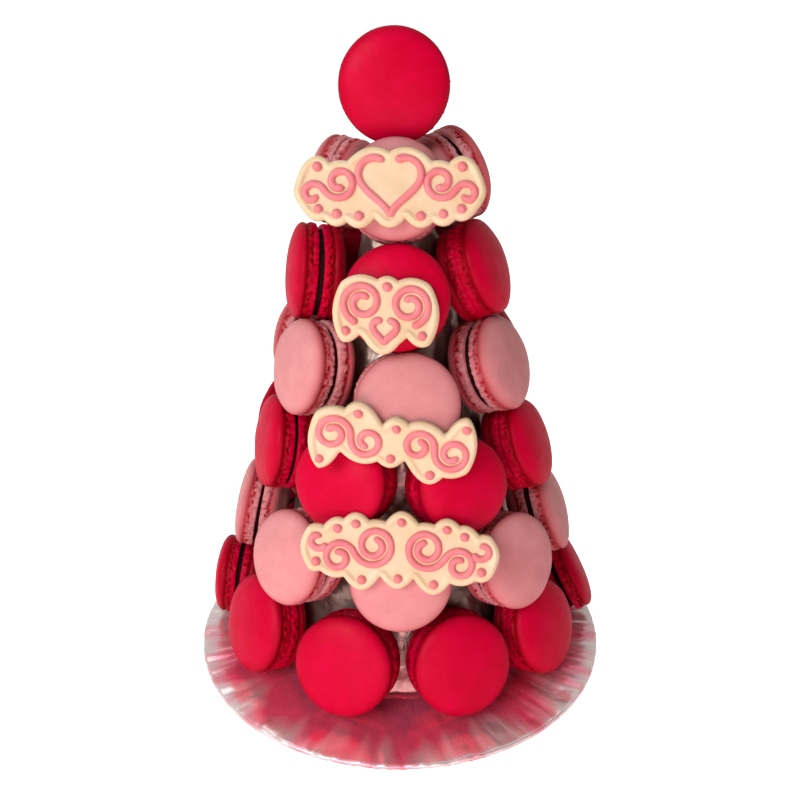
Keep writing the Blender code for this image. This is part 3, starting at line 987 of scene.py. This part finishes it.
def piped_line(stroke, seed):
    """A line of piping with round ends, as thick as the hand that piped it was steady."""
    line = np.array(stroke)
    along = np.concatenate([[0], np.cumsum(np.hypot(*np.diff(line, axis=0).T))])
    length = along[-1]
    count = max(4, round(length / PIPING_SPACING))
    inner = np.linspace(PIPING_INSET, length - PIPING_INSET, count)
    at = np.concatenate([PIPING_END_ROWS, inner, [length - end for end in PIPING_END_ROWS[::-1]]])
    x, y = np.interp(at, along, line[:, 0]), np.interp(at, along, line[:, 1])
    for _ in range(SMOOTHING):
        x[1:-1] = (x[:-2] + 2 * x[1:-1] + x[2:]) / 4
        y[1:-1] = (y[:-2] + 2 * y[1:-1] + y[2:]) / 4
    points = []
    for number, (middle_x, middle_y, run) in enumerate(zip(x, y, at)):
        before, after = max(0, number - 1), min(len(at) - 1, number + 1)
        step_x, step_y = x[after] - x[before], y[after] - y[before]
        step = math.hypot(step_x, step_y)
        from_end = min(run, length - run, PIPING_RADIUS) / PIPING_RADIUS
        unsteady = UNSTEADINESS * noise.noise(Vector((run / UNSTEADY_LENGTH, seed, 0)))
        heavy = HEAVY_START * math.exp(-run / HEAVY_LENGTH)
        radius = PIPING_RADIUS * round_end(from_end, SMALLEST_END) * (1 + unsteady + heavy)
        for side in range(PIPING_SIDES):
            angle = 2 * math.pi * side / PIPING_SIDES
            out = radius * math.cos(angle) / step
            up = PIPING_HEIGHT * radius * math.sin(angle)
            points.append((middle_x + step_y * out, middle_y - step_x * out, up))
    return points, faces_with_caps(len(at), PIPING_SIDES)


def piped_dot(x, y, seed):
    """A drop of icing with a small peak where the nozzle left it."""
    size = DOT_RADIUS * (1 + DOT_UNEVENNESS * noise.noise(Vector((x, y, seed))))
    points = [(x, y, (DOT_HEIGHT + DOT_PEAK) * size)]
    for row in range(1, DOT_ROWS):
        angle = math.pi * row / DOT_ROWS
        reach = size * math.sin(angle)
        peak = DOT_PEAK * max(0.0, math.cos(angle)) ** DOT_PEAK_POWER
        height = size * (DOT_HEIGHT * math.cos(angle) + peak)
        for side in range(DOT_SIDES):
            way = way_round(side, DOT_SIDES)
            points.append((x + reach * way.x, y + reach * way.y, height))
    points.append((x, y, -DOT_HEIGHT * size))
    return points, faces_with_poles(DOT_ROWS - 1, DOT_SIDES)


def plaque_place(node, lean, plate):
    """The matrix that sets a plate in millimetres on its solid's back face, level with its top and right."""
    turn = Matrix.Rotation(math.pi / 2 - math.radians(lean), 4, "X")
    outwards = turn @ Vector((0, 0, 1))
    upwards = turn @ Vector((0, 1, 0))
    corners = [vertex.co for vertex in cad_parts[node].data.vertices]
    across = max(corner.x for corner in corners) - MM * max(x for x, _, _ in plate)
    up = max(corner.dot(upwards) for corner in corners) - MM * max(y for _, y, _ in plate)
    out = min(corner.dot(outwards) for corner in corners) + MM * PLAQUE_THICKNESS / 2
    origin = Vector((across, 0, 0)) + upwards * up + outwards * out
    return Matrix.Translation(origin) @ turn @ Matrix.Scale(MM, 4)


def make_plaque(node, plaque, number):
    """The cream plate and the piping on it, in place of the plaque's solid."""
    strokes, dots = plaque.design()
    strokes = [turned_about(0, 0, stroke, plaque.roll) for stroke in strokes]
    dots = turned_about(0, 0, dots, plaque.roll)
    plate, faces = plaque_base(np.array(sum(strokes, []) + dots), number)
    place = plaque_place(node, plaque.lean, plate)
    base = add_piece(f"{node}_base", [place @ Vector(point) for point in plate], faces, "cream_plaque")
    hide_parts(node)
    piped = [piped_line(stroke, number * 10 + index) for index, stroke in enumerate(strokes)]
    piped += [piped_dot(x, y, number) for x, y in dots]
    points, faces = joined(piped)
    lift = PLAQUE_THICKNESS / 2 - PIPING_SINK
    raised = [place @ Vector((x, y, z + lift)) for x, y, z in points]
    piping = add_piece(f"{node}_piping", raised, faces, "pink_piping")
    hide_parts(node)


# The surroundings.


def make_floor():
    mesh = bpy.data.meshes.new("floor")
    half = FLOOR_HALF_WIDTH
    corners = [(-half, -half), (half, -half), (half, half), (-half, half)]
    mesh.from_pydata([(x, y, -FLOOR_DROP) for x, y in corners], [], [(0, 1, 2, 3)])
    floor = bpy.data.objects.new("floor", mesh)
    bpy.context.scene.collection.objects.link(floor)
    material, tree, shader = new_material("pale_floor", Roughness=0.6, Emission_Strength=1.0)
    mottle = ranged(tree, noise_at(tree, object_coordinates(tree), FLOOR_MOTTLE), (0.3, 0.7))
    tree.links.new(mixed(tree, mottle, *FLOOR_COLOURS), shader.inputs["Base Color"])
    seen = add(tree, "LightPath").outputs["Is Camera Ray"]
    tree.links.new(mixed(tree, seen, FLOOR_GLOW, WHITE), shader.inputs["Emission Color"])
    mesh.materials.append(material)


def make_lamps():
    for name, lamp in LAMPS.items():
        light = bpy.data.lights.new(name, "AREA")
        light.size = lamp.size
        light.energy = lamp.power
        light.color = lamp.colour
        placed = bpy.data.objects.new(name, light)
        placed.location = lamp.place
        aim = Vector(LAMP_TARGET) - placed.location
        placed.rotation_euler = aim.to_track_quat("-Z", "Y").to_euler()
        bpy.context.scene.collection.objects.link(placed)


def make_sky():
    """White for the camera, and for the object a soft light that differs from side to side."""
    world = bpy.data.worlds.new("soft_studio")
    world.use_nodes = True
    tree = world.node_tree
    direction = add(tree, "TexCoord").outputs["Generated"]
    split = add(tree, "SeparateXYZ", {"Vector": direction}).outputs
    front = mixed(tree, ranged(tree, split["X"], LEFT_TO_RIGHT), SKY_LEFT, SKY_RIGHT)
    light = mixed(tree, ranged(tree, split["Y"], FRONT_TO_BEHIND), front, SKY_BEHIND)
    seen = add(tree, "LightPath").outputs["Is Camera Ray"]
    tree.links.new(mixed(tree, seen, light, WHITE), tree.nodes["Background"].inputs["Color"])
    bpy.context.scene.world = world


def make_camera():
    lens = bpy.data.cameras.new("camera")
    lens.angle = math.radians(FIELD_OF_VIEW)
    camera = bpy.data.objects.new("camera", lens)
    camera.location = CAMERA_PLACE
    camera.rotation_euler = (math.radians(90 - CAMERA_PITCH), 0, 0)
    bpy.context.scene.collection.objects.link(camera)
    bpy.context.scene.camera = camera
    bpy.context.scene.view_settings.view_transform = "Standard"


def write_sizes():
    bpy.context.view_layer.update()


noise.seed_set(NOISE_SEED)
clear_default_objects()
make_camera()
make_lamps()
make_sky()
make_floor()
make_board()
make_cone()
make_macarons()
for number, (node, plaque) in enumerate(PLAQUES.items()):
    make_plaque(node, plaque, number)
write_sizes()
